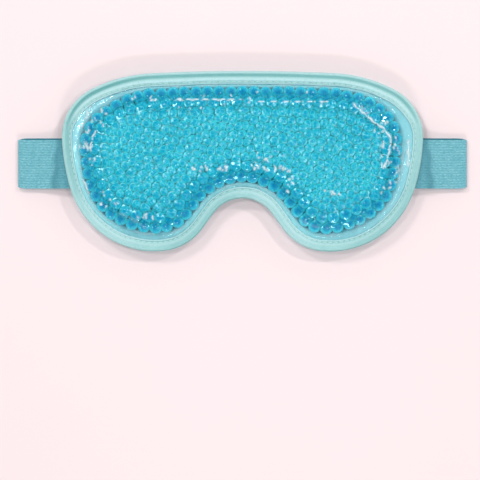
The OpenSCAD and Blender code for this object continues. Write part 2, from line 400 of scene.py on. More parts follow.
def back_film_look():
    """The film under the beads, tinted pale blue, with painted light along its narrow rim."""
    look = Look("tinted_film")
    cloud = look.noise(11, 3)
    look.mottle(cloud, (126, 206, 218), (156, 226, 235))
    # Painted light: the narrow rim between binding and beads is lightened, where it lies in shade
    look.tint(look.painted("painted_rim_light"), 168, 244, 249)
    return look.finish({"Roughness": look.between(cloud, 0, 1, 0.2, 0.4),
                        "Normal": look.bump(look.noise(5, 3), 0.4, 0.5)})


def gel_look():
    """Wet gel: deep blue, with painted shade at each bead's heart and painted highlights where one bead meets
    the next. Among the small beads in the middle, a cell pattern paints bright rings of light that stand for
    the layer below seen through them, and painted sparkles dot the gel."""
    look = Look("gel")
    # Painted light: the light number makes beads further in brighter and those in the border and lobes darker
    light = look.painted("light")
    look.mottle(look.noise(2.4, 3, 0.6), (0, 154, 194), (0, 208, 227))
    look.tint(light, 0, 176, 202)
    # Painted light: bright rings from a cell pattern, stronger where painted light is high, deeper blue in
    # the cells' middles
    cells = look.add("TexVoronoi", {"Vector": look.place(), "Scale": 0.33}).outputs["Distance"]
    off_ring = look.maths("ABSOLUTE", look.maths("SUBTRACT", cells, 0.5))
    ring = look.maths("MULTIPLY", look.between(off_ring, 0.1, 0.02), look.between(light, 0, 1, 0.12, 0.6))
    look.tint(ring, 100, 230, 240)
    look.tint(look.between(cells, 0.0, 0.45, 0.35, 0.0), 0, 156, 194)
    # Painted shade: the top middle of each bead darker where painted light is low
    painted_heart_shade = look.maths("MULTIPLY", look.painted("painted_heart_shade"), look.between(light, 0, 0.7, 0.85, 0.12))
    look.tint(painted_heart_shade, 0, 140, 187)
    # Painted highlight: bright where beads press on each other and round their sides
    look.tint(look.painted("edge"), 88, 234, 247)
    # Painted highlights: a few random bright sparkle specks
    painted_sparkle_cells = look.add("TexVoronoi", {"Vector": look.place(), "Scale": 0.5})
    lucky = look.between(painted_sparkle_cells.outputs["Color"], 0.5, 0.58)
    spark = look.maths("MULTIPLY", look.between(painted_sparkle_cells.outputs["Distance"], 0.24, 0.12), lucky)
    look.tint(spark, 150, 240, 250)
    return look.finish({"Roughness": look.between(light, 0.1, 0.9, 0.08, 0.24), "IOR": 1.36,
                        "Specular Tint": (0.6, 0.92, 1, 1), "Subsurface Weight": 1.0,
                        "Subsurface Radius": (0.3, 1.0, 1.0), "Subsurface Scale": 3.3 * MM,
                        "Normal": look.bump(look.noise(1.7, 2), 0.35, 0.3)})


def binding_look():
    """Brushed binding fabric with painted shades and lights, a cross weave and dark specks."""
    look = Look("binding_fabric")
    look.mottle(look.noise(5, 4, 0.6), (150, 206, 207), (184, 226, 226))
    # Painted shade, then painted light, from the numbers that binding_tones gives
    look.tint(look.painted("dark"), 100, 170, 172)
    look.tint(look.painted("pale"), 208, 242, 246)
    weave = look.noise(0.28, 2, 0.6)
    cross = look.noise(0.7, 2, 0.7, (1, 0.6, 1))
    look.tint(look.between(cross, 0.35, 0.65, 0, 0.3), 146, 204, 200)
    look.tint(look.between(look.noise(1.3, 2, 0.8), 0.62, 0.7, 0, 0.35), 116, 176, 174)
    nap = look.bump(cross, 0.5, 0.12, look.bump(weave, 0.55, 0.08))
    return look.finish({"Roughness": look.between(weave, 0, 1, 0.72, 0.95), "Sheen Weight": 0.25,
                        "Sheen Roughness": 0.4, "Normal": nap})


def thread_look():
    """Twisted sewing thread."""
    look = Look("thread")
    twist = look.noise(0.3, 2, 0.6, (2.5, 2.5, 1))
    look.mottle(twist, (170, 216, 212), (222, 248, 246))
    return look.finish({"Roughness": 0.55, "Sheen Weight": 0.2, "Normal": look.bump(twist, 0.6, 0.06)})


def plush_look():
    """Short plush: brushed patches where the pile leans one way or another, and fine pile."""
    look = Look("plush")
    nap = look.noise(17, 4, 0.6)
    brushed = look.noise(7, 4, 0.65, (1, 0.4, 1))
    pile = look.noise(0.5, 3, 0.75)
    look.mottle(look.between(nap, 0.33, 0.67), (84, 202, 224), (112, 218, 234))
    look.tint(look.between(brushed, 0.45, 0.75, 0, 0.3), 134, 226, 238)
    look.tint(look.painted("edge"), 58, 184, 214)
    look.tint(look.between(pile, 0.38, 0.62, 0, 0.4), 40, 158, 194)
    return look.finish({"Roughness": look.between(pile, 0, 1, 0.85, 1.0), "Sheen Weight": 0.6,
                        "Sheen Roughness": 0.35, "Sheen Tint": (0.75, 0.97, 1, 1),
                        "Normal": look.bump(brushed, 0.6, 0.7, look.bump(pile, 0.9, 0.35))})


def elastic_look():
    """Ribbed elastic: short floats of yarn across each rib, with painted shade between the ribs, a painted
    shadow next to the mask and painted shade on the returning ply's top edge.
    """
    look = Look("elastic")
    yarn = look.add("TexVoronoi", {"Vector": look.place((0.75, 1.9, 1.9)), "Scale": 1.0})
    floats = yarn.outputs["Distance"]
    fleck = look.noise(0.8, 3, 0.7, (0.6, 1.3, 1.3))
    look.mottle(look.noise(6, 3), (108, 184, 198), (142, 212, 223))
    look.tint(look.between(floats, 0.3, 0.75, 0, 0.6), 72, 152, 170)
    look.tint(look.between(fleck, 0.5, 0.72, 0, 0.6), 178, 230, 236)
    # Painted shade between the ribs
    look.tint(look.painted("valley"), 74, 152, 168)
    # Painted shadow next to the mask, and painted shade on the returning ply's top edge
    look.tint(look.painted("root"), 52, 130, 148)
    return look.finish({"Roughness": look.between(fleck, 0, 1, 0.6, 0.85), "Sheen Weight": 0.2,
                        "Normal": look.bump(floats, 0.6, -0.14, look.bump(fleck, 0.5, 0.1))})


def hook_look(name, dark, pale):
    """Nylon of a hook or loop tape, mottled between two colours."""
    look = Look(name)
    fleck = look.noise(0.9, 3, 0.6)
    look.mottle(fleck, dark, pale)
    return look.finish({"Roughness": look.between(fleck, 0, 1, 0.45, 0.7), "Sheen Weight": 0.15,
                        "Normal": look.bump(look.noise(0.4, 2), 0.5, 0.1)})


def floor_look():
    """Plain pink, barely uneven."""
    look = Look("pale_floor")
    look.mottle(look.noise(90, 2), (255, 237, 239), (253, 235, 237))
    return look.finish({"Roughness": 0.9})


FILM = film_look()
BACK_FILM = back_film_look()
GEL = gel_look()
BINDING = binding_look()
THREAD = thread_look()
PLUSH = plush_look()
ELASTIC = elastic_look()
HOOKS = hook_look("hook_nylon", (84, 160, 178), (120, 194, 208))
LOOPS = hook_look("loop_nylon", (96, 176, 192), (140, 206, 218))

# ---- Gel beads ----
BEAD_D = 6.5        # a bead along the border or in a lobe
SMALL_D = 4.6       # a bead in the middle
RIM = 8.9           # how far in the beads start
ROW_PITCH = 0.99    # the border rows' pitch in bead widths
ROWS = 0.5, 1.38    # how far inside the rim the upper border rows lie, in bead widths
FIELD = 1.86        # and where the loose beads inside them start
STRAY = 0.17        # how far the upper beads stray sideways
SINK = 0.45         # and at most downwards
DOME_FOOT, DOME_FLAT = 7.2, 21.0
CUP_FOOT, CUP_FLAT = 9.3, 17.0
LOBE_Y = -16        # the lobes are below this
PRESS = 1.24        # how much wider a bead would be if its neighbours didn't press it flat
MIDDLE_PRESS = 0.22
UNDER = 1.15        # how much deeper the lower layer lies

# Where the clear rim is wider, as [x, y, reach, extra width]
SLACK = [(-86, 30, 20, 4.2), (88, 25, 15, 3.6), (93, 0, 20, 2.6), (-52, -44, 20, 1.8), (70, -40, 24, 2.4)]


def slack(points):
    """The clear rim's extra width near each point."""
    return sum(extra * np.exp(-((points[:, 0] - x) ** 2 + (points[:, 1] - y) ** 2) / reach ** 2)
               for x, y, reach, extra in SLACK)


def beads_inset(points):
    """How far inside the outline points are, less where the clear rim is wider."""
    return edge_distance(points)[0] - slack(points)


def dome(inset, drop=0.0):
    """Height of the front film's outside, with its top lowered by a drop."""
    return swell(inset, DOME_FOOT, DOME_FLAT, FLANGE_Z, DOME_Z - drop)


def cup(inset):
    """Height of the back film's inside."""
    return swell(inset, CUP_FOOT, CUP_FLAT, BACK_FLANGE_Z - FILM_T, CUP_Z)


def bead_width(points, inset):
    """Beads look large along the border and in the two lobes, and small in the middle of the pouch."""
    border = smooth01((24 - inset) / 7)
    lobe = 0.75 * smooth01((LOBE_Y - points[:, 1]) / 9)
    return SMALL_D + (BEAD_D - SMALL_D) * np.maximum(border, lobe)


def border_row(inset, shift):
    """Bead centres side by side along the outline at an inset."""
    wider = inset + slack(EDGE_P - EDGE_N * inset)
    ring = EDGE_P - EDGE_N * wider[:, None]
    ring = np.concatenate([ring, ring[:1]])
    reach = distances(ring)
    count = round(reach[-1] / (BEAD_D * ROW_PITCH))
    want = (np.arange(count) + shift) * reach[-1] / count
    return np.column_stack([np.interp(want, reach, ring[:, 0]), np.interp(want, reach, ring[:, 1])])


def even_spread(fixed, margin, rounds, pick):
    """Fixed points, and as many more beyond a margin as fit there, spaced as wide as each bead wants."""
    step = 0.8
    xs = np.arange(-HALF_W, HALF_W, step)
    ys = np.arange(-HALF_W / 2, HALF_W / 2, step)
    field = np.stack(np.meshgrid(xs, ys), -1).reshape(-1, 2)
    inset = beads_inset(field)
    field, inset = field[inset > margin], inset[inset > margin]
    weight = 1 / bead_width(field, inset) ** 2
    count = int(weight.sum() * step ** 2 / 0.866)
    free = field[pick.choice(len(field), count, replace=False, p=weight / weight.sum())]
    for _ in range(rounds):
        owner = nearest_of(field, np.concatenate([fixed, free])) - len(fixed)
        own = owner >= 0
        pull = weight[own] ** 2
        mass = np.bincount(owner[own], pull, minlength=count)
        moved = np.column_stack([np.bincount(owner[own], pull * field[own, i], minlength=count)
                                 for i in (0, 1)])
        free = np.where(mass[:, None] > 0, moved / np.maximum(mass, 1e-9)[:, None], free)
    return np.concatenate([fixed, free])


def nearest_of(points, centres, chunk=4000):
    """Index of the nearest centre to each point."""
    found = np.empty(len(points), int)
    lengths = (centres ** 2).sum(1)
    for i in range(0, len(points), chunk):
        part = points[i:i + chunk]
        found[i:i + chunk] = (lengths - 2 * part @ centres.T).argmin(1)
    return found


def fitted_radii(flat, largest):
    """Radii with which neighbours press on each other, harder in the middle, where the film is taut."""
    span = np.sqrt(((flat[:, None] - flat[None]) ** 2).sum(2)) + np.eye(len(flat)) * 99
    press = PRESS + MIDDLE_PRESS * smooth01((beads_inset(flat) - 16) / 8) * (flat[:, 1] > LOBE_Y)
    return np.minimum(np.sort(span, axis=1)[:, :5].mean(1) / 2 * press, largest)


def against_film(flat, radii, film):
    """Heights at which beads touch the front film from inside, and how far in from the outline they lie."""
    inset = beads_inset(flat)
    slope = np.abs(film(inset + 0.3) - film(inset - 0.3)) / 0.6
    return film(inset) - FILM_T - radii * np.sqrt(1 + np.minimum(slope, 1.2) ** 2), inset


def upper_beads():
    """The beads that touch the front film: two neat rows along the border and a looser field inside them."""
    pick = np.random.default_rng(11)
    rows = [border_row(RIM + ROWS[0] * BEAD_D, 0.0), border_row(RIM + ROWS[1] * BEAD_D, 0.5)]
    flat = even_spread(np.concatenate(rows), RIM + FIELD * BEAD_D, 26, pick)
    flat += pick.normal(0, STRAY, flat.shape)
    radii = fitted_radii(flat, BEAD_D / 2 * 1.14)
    height, inset = against_film(flat, radii, dome)
    height -= pick.uniform(0, SINK, len(flat))
    return np.column_stack([flat, height]), radii, inset


def lower_beads():
    """The beads that show between the upper ones."""
    pick = np.random.default_rng(12)
    flat = even_spread(border_row(RIM + BEAD_D * 0.9, 0.25), RIM + 1.4 * BEAD_D, 14, pick)
    radii = fitted_radii(flat, BEAD_D / 2)
    height, inset = against_film(flat, radii, dome)
    height = np.maximum(height - UNDER, cup(inset) + radii + FILM_T)
    return np.column_stack([flat, height]), radii, inset


def ball(level):
    """Points and triangles of a ball of radius 1."""
    shape = bmesh.new()
    bmesh.ops.create_icosphere(shape, subdivisions=level, radius=1)
    verts = np.array([v.co for v in shape.verts])
    faces = np.array([[v.index for v in f.verts] for f in shape.faces])
    shape.free()
    return verts, faces


def shaped_bead(spot, radius, near, near_radii, unit):
    """A bead flattened where it presses on its neighbours, with how close each point is to such a contact."""
    points = unit * radius
    # The edge number is a painted highlight: a band round the bead's side and at its contacts, painted bright
    edge = 0.6 * np.exp(-((unit[:, 2] - 0.15) / 0.32) ** 2)
    for other, other_radius in zip(near, near_radii):
        gap = other - spot
        span = np.linalg.norm(gap)
        gap = gap / span
        wall = (span ** 2 + radius ** 2 - other_radius ** 2) / (2 * span) - 0.02
        ahead = points @ gap
        edge = np.maximum(edge, np.clip((ahead - wall + 1.0) / 1.0, 0, 1) ** 1.3)
        points = points - np.clip(ahead - wall, 0, None)[:, None] * gap
    return spot + points, edge


# Beads with a full ring of painted highlight, as [x, y]
RINGED = [(69.2, -19), (53, 25), (-44, -13.4), (70, 30), (-38.5, -29.4)]


def bead_object(name, spots, radii, lights, chosen, level):
    """One object of many beads with the numbers that the gel material reads."""
    unit, faces = ball(level)
    parts, edges = [], []
    ringed = [np.linalg.norm(spots[:, :2] - spot, axis=1).argmin() for spot in RINGED]
    # Painted highlight rings: full on the listed beads, weaker in the lobes, none elsewhere
    outline = smooth01((LOBE_Y - spots[:, 1]) / 6) * np.where(spots[:, 0] > 0, 0.7, 0.4)
    outline[ringed] = 1
    from_axis = np.hypot(unit[:, 0], unit[:, 1])
    ring = band(from_axis, 0.8, 0.1) * (unit[:, 2] > 0)
    for i in chosen:
        span = np.linalg.norm(spots - spots[i], axis=1)
        near = np.flatnonzero((span < radii + radii[i]) & (span > 0))
        points, edge = shaped_bead(spots[i], radii[i], spots[near], radii[near], unit)
        points[:, 2] = np.clip(points[:, 2], CUP_Z + 0.05, DOME_Z - FILM_T - 0.02)
        parts.append((points, faces))
        edges.append(np.maximum(edge, ring * outline[i]))
    made = mesh_object(name, *join_parts(parts), GEL, mend=False)
    paint(made, "edge", np.concatenate(edges))
    paint(made, "light", np.repeat(lights[chosen], len(unit)))
    # Painted shade: how near each point lies to the top middle of its bead
    paint(made, "painted_heart_shade", np.tile(smooth01((0.72 - from_axis) / 0.4), len(chosen)))
    return made


def build_beads():
    """The beads in a lower and an upper layer, each in a left and a right half. Returns the upper beads."""
    pick = np.random.default_rng(13)
    for layer, level, (spots, radii, inset) in (("lower", 2, lower_beads()), ("upper", 3, upper_beads())):
        # Painted light: beads further in are brighter, and those in the lobes darker, the right lobe most
        lights = smooth01((inset - 12) / 9) * 0.85 + pick.uniform(-0.2, 0.2, len(spots))
        lobe = smooth01((LOBE_Y - spots[:, 1]) / 12) * (0.15 + 0.3 * (spots[:, 0] > 0))
        lights = np.clip(lights - lobe, 0, 1)
        for side, half in (("left", spots[:, 0] < 0), ("right", spots[:, 0] >= 0)):
            name = f"gel_beads_{side}_{layer}"
            beads = bead_object(name, spots, radii, lights, np.flatnonzero(half), level)
            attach(beads, "mask")
            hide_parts(f"gel_beads_{side}")
    return spots, radii


# ---- Films and plush: flat triangulations of the outline that are lifted to a height ----
EDGE_INSET = 0.9    # where films and plush end, inside the binding
SKIN_T = 0.25       # thickness of the films as drawn
FRONT_PITCH = 0.72  # the meshes' point spacing
BACK_PITCH = 2.0
PLUSH_PITCH = 2.2
PLUSH_MOVE = 1.1    # how far the cloth simulation may move the plush
PLUSH_HELD = 5.2    # how far in the binding's seam holds the plush
PUCKER_H = 0.25     # its puckers' height, with one pucker for every two stitches


def flat_web(rings, pitch):
    """Points and triangles that fill the outline from the first ring inwards. The rings are lines of points
    at their insets, and an even field fills the last one."""
    parts = [(EDGE_P - EDGE_N * inset)[::2] for inset in rings]
    reach = HALF_W + pitch
    rows = np.arange(-round(reach / pitch), round(reach / pitch) + 1)
    field = np.array([(pitch * (c + 0.5 * (r % 2)), pitch * math.sqrt(0.75) * r)
                      for r in rows for c in rows])
    inside = edge_distance(field)[0] > rings[-1] + pitch * 0.6
    parts.append(field[inside])
    flat = np.concatenate(parts)
    points, _, faces, *_ = delaunay_2d_cdt([Vector(p) for p in flat], [], [], 0, 1e-6)
    points = np.array([tuple(p) for p in points])
    faces = np.array([list(f) for f in faces])
    middles = points[faces].mean(1)
    return points, faces[edge_distance(middles)[0] > rings[0]]


def relaxed(values, faces, rounds, held):
    """Each value moved towards the mean of its neighbours, except where held."""
    pairs = np.concatenate([faces[:, [0, 1]], faces[:, [1, 2]], faces[:, [2, 0]]])
    pairs = np.concatenate([pairs, pairs[:, ::-1]])
    count = np.bincount(pairs[:, 0], minlength=len(values))
    for _ in range(rounds):
        mean = np.bincount(pairs[:, 0], values[pairs[:, 1]], minlength=len(values)) / np.maximum(count, 1)
        values = np.where(held, values, 0.5 * values + 0.5 * mean)
    return values


def thickened(made, thickness):
    """Gives a skin its thickness inwards from its faces, as a closed mesh."""
    skin = made.modifiers.new("thickness", "SOLIDIFY")
    skin.thickness = thickness * MM
    skin.offset = -1
    bpy.context.view_layer.update()
    solid = bpy.data.meshes.new_from_object(made.evaluated_get(bpy.context.evaluated_depsgraph_get()))
    made.modifiers.clear()
    made.data = solid
    solid.shade_smooth()


# The film's clearest wrinkles as [start x, start y, end x, end y, bow, width, height, how white its painted
# glint is]
FOLDS = [(-41, 33.4, 2, 33.4, 0.1, 0.46, 0.2, 1), (-80, 17.5, -83.6, 5.5, -0.8, 0.5, 0.6, 1),
         (-83.6, 32, -89.6, 17.4, 0.5, 0.5, 0.4, 1), (-88.8, -9, -84.4, -19, 0.4, 0.7, 0.4, 1),
         (60.3, 31.8, 67.8, 25.4, -0.4, 0.7, 0.4, 0.9), (66, 27.2, 77.4, 17.6, -0.7, 0.7, 0.5, 1),
         (75.4, 19.8, 82, 10.6, 0.6, 0.8, 0.6, 1), (81.6, 13, 78, -3.4, 0.6, 0.6, 0.6, 1),
         (91.8, 13, 91.5, -4, 0, 1.0, 0.4, 1), (88.6, 8, 88.4, -7, 0, 0.6, 0.2, 0.4),
         (-70, -28, -52, -38, 1.0, 0.9, 0.5, 0.1), (28, -30, 44, -37, -1.2, 0.9, 0.5, 0.1),
         (56, -38, 72, -30, -1.0, 0.9, 0.5, 0.1), (-18, -14, 16, -14, -2.4, 0.8, 0.4, 0.05)]
FOLDS += [(x, 32.3, x + 5.4, 32.3, 0.1, 0.32, 0.2, 0.9) for x in (8, 15, 22, 28.5, 35, 42)]
# Where short painted white glints crowd together on the film, as [x, y, spread in x, spread in y, how many]
PAINTED_GLINTS = [(-86, 16, 1.8, 2.4, 5), (-87, 9, 2, 1.6, 5), (-86.5, 5.4, 3.4, 1.4, 9), (-82.5, -1.4, 2, 2, 5),
          (-80, 20, 5, 5, 5), (-78, 26, 8, 3, 6), (-73, -22, 5, 5, 8), (-53, -31.5, 5, 1.4, 8),
          (-20, -4.5, 12, 2, 16), (16, -5, 11, 2, 18), (14, 1, 9, 3, 8), (28, -14, 3, 4, 5),
          (51, -18.5, 6, 1.4, 8), (66, 26, 4, 3, 7), (76, 18, 4, 4, 8), (85, 8, 2, 5, 8), (80, -2, 3, 2, 6),
          (84, -8, 3, 5, 9), (78, -15, 4, 3, 7), (76, 2, 4, 8, 8), (0, 33, 45, 5, 12), (-50, 34, 12, 2, 5)]
CRINKLES = 46


def ridge(points, start, end, bow, width):
    """1 along a thin line between two spots that bows sideways, fading out at its sides and at both ends."""
    start, end = np.array(start), np.array(end)
    length = np.linalg.norm(end - start)
    ahead_way = (end - start) / length
    away = points - start
    reach = away @ ahead_way
    ahead = reach / length
    aside = away @ np.array([-ahead_way[1], ahead_way[0]]) - bow * np.sin(np.clip(ahead, 0, 1) * math.pi)
    aside = aside + min(0.02 * length, 0.2) * np.sin(reach * 1.3 + start[0])
    width = width * (0.75 + 0.35 * np.sin(reach * 0.9 + start[1]))
    return band(aside, 0, width) * smooth01(ahead * 6) * smooth01((1 - ahead) * 6)


def creases(points):
    """How far wrinkles of slack film rise, and the painted white glints on them and in clusters. Crinkles
    point inwards from the border.
    """
    lift = glint_paint = np.zeros(len(points))
    for *line, bow, width, height, glint_strength in FOLDS:
        lift = lift + height * ridge(points, line[:2], line[2:], bow, width)
        # Painted highlight: each fold's white glint, narrower than its ridge
        glint_paint = np.maximum(glint_paint, glint_strength * ridge(points, line[:2], line[2:], bow, width * 0.7))
    pick = np.random.default_rng(5)
    for x, y, wide, tall, count in PAINTED_GLINTS:
        for _ in range(count):
            start = np.array([x + wide * pick.uniform(-1, 1), y + tall * pick.uniform(-1, 1)])
            turn = pick.normal(TAU / 4, 0.45)
            end = start + pick.uniform(1.2, 2.6) * np.array([math.cos(turn), math.sin(turn)])
            # Painted highlight: short white glints, with no rise of the film under them
            glint_paint = np.maximum(glint_paint, pick.uniform(0.5, 1) * ridge(points, start, end, 0, 0.44))
    for _ in range(CRINKLES):
        spot, normal = outline_at(pick.uniform(0, LENGTH))
        turn = pick.uniform(-1.1, 1.1)
        inwards = -np.array([normal[0] * math.cos(turn) - normal[1] * math.sin(turn),
                             normal[0] * math.sin(turn) + normal[1] * math.cos(turn)])
        start = spot - normal * pick.uniform(8, 14)
        end = start + inwards * pick.uniform(5, 11)
        lift = lift + pick.uniform(0.25, 0.55) * ridge(points, start, end, pick.uniform(-0.8, 0.8),
                                                       pick.uniform(0.4, 0.7))
    return lift, glint_paint


def build_front_film(spots, radii):
    """The front film: a dome drawn down between the beads at these spots, wrinkled, with painted glints and a
    welded rim.
    """
    points, faces = flat_web([EDGE_INSET, 2.5, 4.2, 5.6, 6.5, 7.2, 7.8, 8.4, 9.0, 9.7, 10.4], FRONT_PITCH)
    inset = beads_inset(points)
    z = dome(inset, 0.9)
    upper = spots[:, 2] > (CUP_Z + DOME_Z) / 2 - 2
    tops = np.full(len(points), -50.0)
    for spot, radius in zip(spots[upper], radii[upper]):
        across = np.linalg.norm(points - spot[:2], axis=1)
        on = across < radius
        cap = spot[2] + np.sqrt(np.clip(radius ** 2 - across[on] ** 2, 0, None))
        tops[on] = np.maximum(tops[on], cap)
    tops = np.minimum(tops, DOME_Z - FILM_T)
    sharp = 2.5
    z = np.logaddexp(sharp * z, sharp * (tops + 0.1)) / sharp
    lift, glint_paint = creases(points)
    lift = lift * smooth01((inset - 7.0) / 2)
    # Painted highlight: a thin, uneven bright line along the rim
    rim_glint = band(inset, 7.8, 0.5) * (0.14 + 0.12 * np.sin(points[:, 0] * 0.31 + points[:, 1] * 0.17))
    glint_paint = np.maximum(glint_paint, rim_glint)
    held = inset < DOME_FOOT + 0.2
    z = relaxed(np.where(held, FLANGE_Z, z), faces, 3, held)
    z = np.maximum(z, tops + 0.12) + lift
    z = np.minimum(np.where(inset < DOME_FOOT, FLANGE_Z, z), DOME_Z + 0.6)
    made = mesh_object("clear_front_film", np.column_stack([points, z]), faces, FILM)
    # The painted glints, which the film's matte white layer follows
    paint(made, "painted_glint", glint_paint)
    paint(made, "calm", smooth01((inset - 15) / 8))
    thickened(made, SKIN_T)
    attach(made, "mask")
    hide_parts("front_film")


def build_back_film():
    """The back film: a cup under the beads, with painted light along its rim where that is narrow."""
    points, faces = flat_web([EDGE_INSET, 4, 7, 8.0, 8.4, 8.9, 9.6, 10.4, 12, 14], BACK_PITCH)
    inset = beads_inset(points)
    z = np.where(inset < CUP_FOOT, BACK_FLANGE_Z, cup(inset) + 0.02)
    made = mesh_object("tinted_back_film", np.column_stack([points, z]), faces, BACK_FILM)
    # Painted light: strongest near the outline, and weaker where the clear rim is wider
    painted_rim_light = smooth01((9.6 - edge_distance(points)[0]) / 1.8) * (1 - 0.9 * smooth01(slack(points) / 1.6))
    paint(made, "painted_rim_light", painted_rim_light)
    thickened(made, SKIN_T)
    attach(made, "mask")
    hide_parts("back_film")


def root_zone(points):
    """1 where a strap's sewn end lies against the plush, fading to 0 round it."""
    aside = smooth01((STRAP_W / 2 + 4 - np.abs(points[:, 1] - STRAP_Y)) / 4)
    return aside * smooth01((np.abs(points[:, 0]) - HALF_W + 14) / 4)


def swollen(made, pinned, frames=20):
    """Where the points of a cloth come to lie when it swells a little between its pinned points."""
    made.vertex_groups.new(name="pinned").add([int(i) for i in np.flatnonzero(pinned)], 1.0, "REPLACE")
    cloth = made.modifiers.new("cloth", "CLOTH")
    cloth.settings.vertex_group_mass = "pinned"
    cloth.settings.quality = 6
    cloth.settings.use_pressure = True
    cloth.settings.uniform_pressure_force = 4
    cloth.settings.tension_stiffness = cloth.settings.compression_stiffness = 20
    cloth.settings.bending_stiffness = 0.3
    cloth.settings.shrink_min = cloth.settings.shrink_max = -0.02
    cloth.settings.effector_weights.gravity = 0
    cloth.point_cache.frame_end = frames
    for number in range(1, frames + 1):
        bpy.context.scene.frame_set(number)
    settled = made.evaluated_get(bpy.context.evaluated_depsgraph_get()).to_mesh()
    spots = np.empty(len(settled.vertices) * 3)
    settled.vertices.foreach_get("co", spots)
    made.modifiers.clear()
    bpy.context.scene.frame_set(1)
    return spots.reshape(-1, 3) / MM


def build_plush():
    """The plush back: a sheet held along the binding and pushed out by the gel, with puckers at the seam."""
    points, faces = flat_web([EDGE_INSET, 2.5, 4.0, 5.0, 6.2, 7.6, 9.2], PLUSH_PITCH)
    inset, _, run = edge_distance(points)
    foot = 4.6 + 1.4 * root_zone(points)
    z = swell(inset, foot, 20, PLUSH_RIM_Z - PLUSH_T, PLUSH_Z, 2.0)
    pucker = PUCKER_H * np.sin(TAU * run / (2 * STITCH_PITCH) + 2 * ripple(run, 3)) * band(inset, 7.0, 2.0)
    z = z + pucker * (inset > PLUSH_HELD)
    made = mesh_object("plush_back", np.column_stack([points, z]), faces, PLUSH)
    paint(made, "edge", 0.8 * smooth01((13 + 3 * ripple(run, 6) - inset) / 11))
    if made.data.polygons[0].normal.z > 0:
        made.data.flip_normals()
    still = np.column_stack([points, z])
    moved = swollen(made, inset < PLUSH_HELD + 0.2) - still
    far = np.linalg.norm(moved, axis=1)
    moved *= (PLUSH_MOVE * np.tanh(far / PLUSH_MOVE) / np.maximum(far, 1e-9))[:, None]
    settled = still + moved * smooth01((inset - PLUSH_HELD) / 3)[:, None]
    settled[:, 2] = np.maximum(settled[:, 2], PLUSH_Z)
    made.data.vertices.foreach_set("co", (settled * MM).ravel())
    smoother = made.modifiers.new("smoother", "SUBSURF")
    smoother.levels = smoother.render_levels = 1
    thickened(made, PLUSH_T)
    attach(made, "mask")
    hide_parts("plush_panel")


# ---- Binding ----
STITCH_PITCH = 3.4
STITCH_SHARE = 0.86     # how much of its pitch a stitch covers
STITCH_RISE = 0.3
THREAD_R = 0.22
BINDING_COLUMNS = 1500
DITCH = 1.3             # the seams' distances from the inner edges of the binding's legs
BACK_DITCH = 1.2
SEAM_Z = (BIND_TOP + BIND_LOW) / 2


def front_width(normal):
    """The binding's front leg is widest along the brow and narrowest at the sides."""
    return 5.6 + 1.9 * smooth01(normal[:, 1] * 1.3) + 0.8 * smooth01(-normal[:, 1] * 1.3)


def back_width(normal):
    """The back leg is narrower than the front one."""
    return 4.5 + 0.9 * smooth01(normal[:, 1] * 1.3)


def binding_section(front, back):
    """The section as [inset, height over its middle] points: its outside, which runs from the front leg round
    the rolled edge to the back leg, and its inside."""
    top = BIND_TOP - SEAM_Z
    under = BIND_LOW - SEAM_Z
    outside = [(front, top - 0.62), (front - 0.02, top - 0.25), (front - 0.35, top + 0.12),
               (front - DITCH, top - 0.02), (front - 2.0, top + 0.3), (3.6, top + 0.28), (3.0, top - 0.02),
               (2.4, top - 0.3), (2.0, top - 0.02), (1.6, top + 0.3), (1.0, top + 0.25), (0.45, top - 0.25),
               (0.08, top - 0.95), (0.0, 0.0), (0.1, under + 0.9), (0.5, under + 0.3), (1.1, under - 0.12),
               (2.0, under - 0.1), (2.9, under + 0.04), (back - 1.2, under - 0.1), (back - 0.3, under - 0.02),
               (back, under + 0.25), (back, under + 0.55)]
    inside = [(back - 0.3, under + TAPE_T), (0.8, under + TAPE_T), (0.75, 0), (0.8, top - TAPE_T),
              (front - 0.3, top - TAPE_T)]
    return eased(outside, 60, 2), np.array(inside)


def binding_tones(inset, front, normal, on_front):
    """How much painted shade and painted light each point of a section gets, by which way the outline faces
    there: shade in the groove, along the seam, under the outer edge, on the left and lower right; light on
    the rolled edge, the inner hem, the inner band and the lower left.
    """
    up, down = smooth01(normal[1] * 1.4), smooth01(-normal[1] * 1.4)
    left = smooth01(-normal[0] * 1.4 + 0.1)
    dark = 0.75 * up * band(inset, 2.6, 0.95) + 0.45 * left * band(inset, 3.2, 1.5)
    dark += (0.3 + 0.45 * down) * band(inset, front - 1.15, 0.38) + down * band(inset, 0.0, 0.7)
    dark += 0.3 * smooth01(-normal[1] * 1.4 + 0.3) * smooth01(normal[0] * 2)
    dark += 0.25 * left * (1 - down) * (inset > 2)
    pale = 0.4 * band(inset, 0.7, 0.6) * (0.3 + 0.7 * up) + 0.95 * band(inset, front - 0.25, 0.35)
    pale += (0.65 * up + 0.3 * down + 0.1) * band(inset, front - 2.7, 1.1)
    pale += 0.35 * down * smooth01(-normal[0] * 2)
    return np.clip(dark, 0, 1) * on_front, np.clip(pale, 0, 1) * on_front


